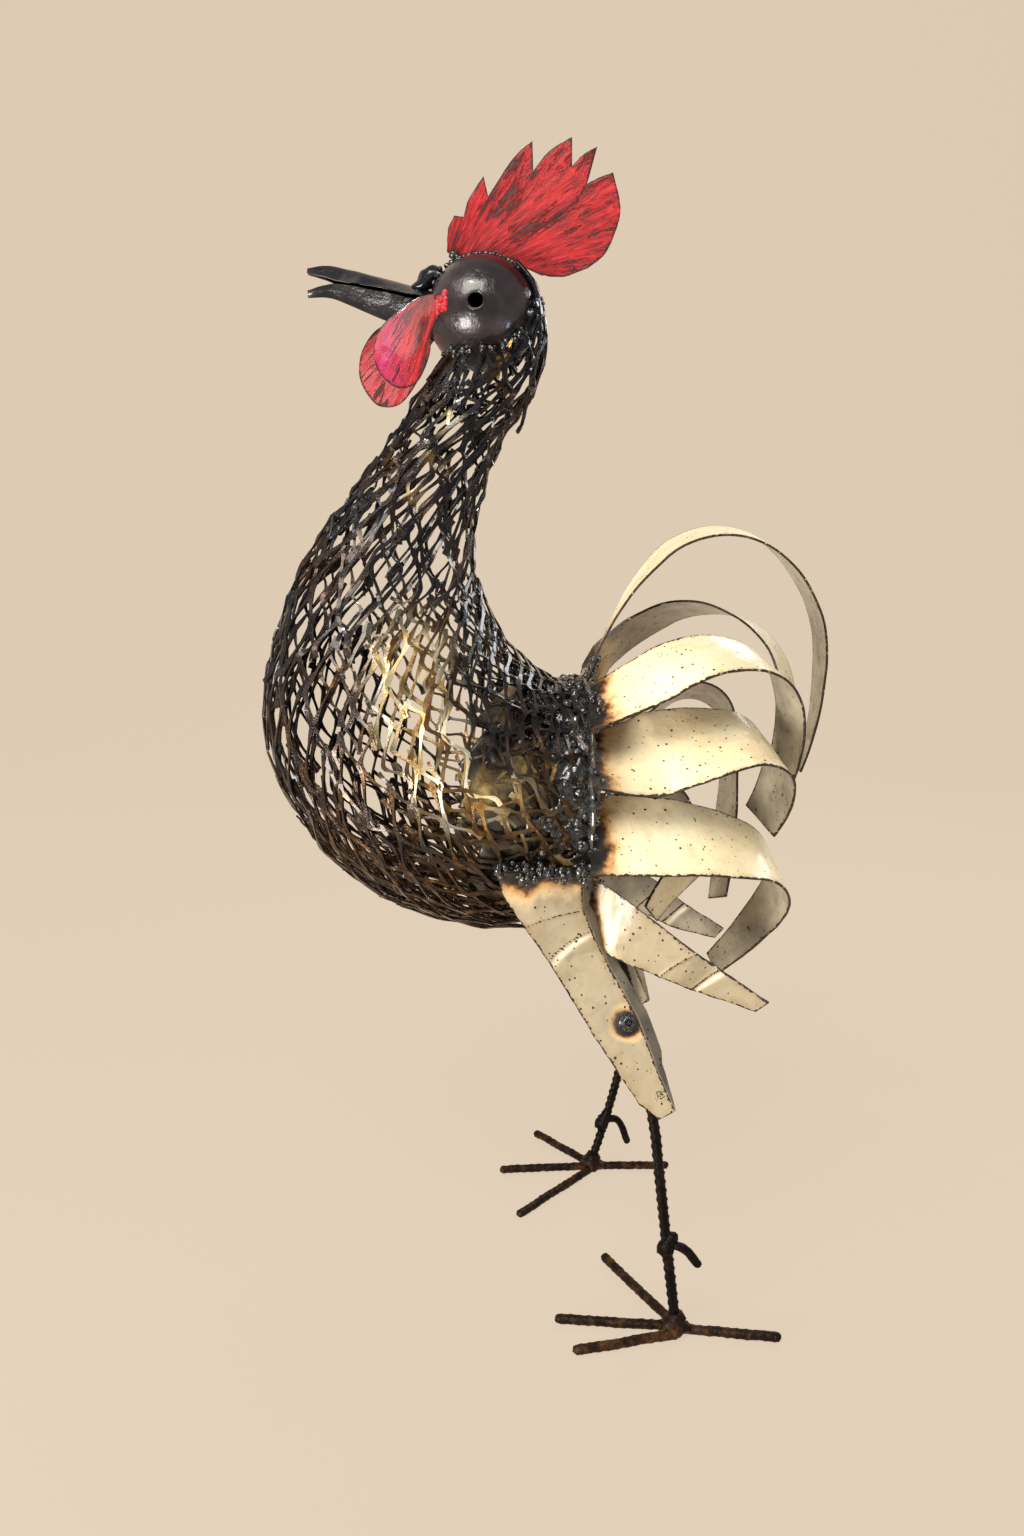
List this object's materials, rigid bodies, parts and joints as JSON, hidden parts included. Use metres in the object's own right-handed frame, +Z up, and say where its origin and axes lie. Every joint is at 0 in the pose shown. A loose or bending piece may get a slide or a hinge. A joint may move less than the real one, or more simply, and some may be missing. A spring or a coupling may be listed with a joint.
{
  "type": "wire rooster sculpture",
  "caption": "standing rooster of welded wire mesh with a steel ball head, red sheet comb and wattles, curled cream tail strips and ribbed rod legs",
  "frame": {"origin": "on the ground, at the middle of the bird's box seen from above", "axes": "+Z up, the bird looks towards -X, its left side faces -Y and its tail is towards +X"},
  "size_m": [0.4048, 0.305, 0.8],
  "materials": {
    "black_steel": "blackened mild steel with a clear gloss, heat-tinted gold and brown near the tail",
    "burnished_steel": "dark brown burnished steel, clear varnished",
    "weld_metal": "lumpy black weld metal and slag",
    "rusty_rod": "rust-brown ribbed bar under clear varnish",
    "cream_enamel": "old cream enamel on sheet steel, chipped and scorched at the welds",
    "red_paint": "coral red brush-painted sheet with dark streaks"
  },
  "bodies": {
    "root": {"head_ball": "burnished_steel", "eye_ring_left": "burnished_steel", "eye_ring_right": "burnished_steel", "beak_upper": "black_steel", "beak_lower": "black_steel", "beak_weld": "weld_metal", "comb": "red_paint", "wattle_left": "red_paint", "wattle_right": "red_paint", "body_mesh": "black_steel", "rump_plate": "weld_metal", "tail_feather_top": "cream_enamel", "tail_feather_left_1": "cream_enamel", "tail_feather_left_2": "cream_enamel", "tail_feather_left_3": "cream_enamel", "tail_feather_right_1": "cream_enamel", "tail_feather_right_2": "cream_enamel", "tail_feather_right_3": "cream_enamel", "wing_plate_left": "cream_enamel", "wing_plate_right": "cream_enamel", "thigh_plate_left": "cream_enamel", "thigh_plate_right": "cream_enamel", "thigh_bolt_left": "weld_metal", "thigh_bolt_right": "weld_metal", "leg_rod_left": "rusty_rod", "leg_rod_right": "rusty_rod", "spur_left": "rusty_rod", "spur_right": "rusty_rod", "foot_weld_left": "weld_metal", "foot_weld_right": "weld_metal", "toe_left_inner": "rusty_rod", "toe_left_middle": "rusty_rod", "toe_left_outer": "rusty_rod", "toe_left_back": "rusty_rod", "toe_right_inner": "rusty_rod", "toe_right_middle": "rusty_rod", "toe_right_outer": "rusty_rod", "toe_right_back": "rusty_rod"}
  },
  "joints": []
}
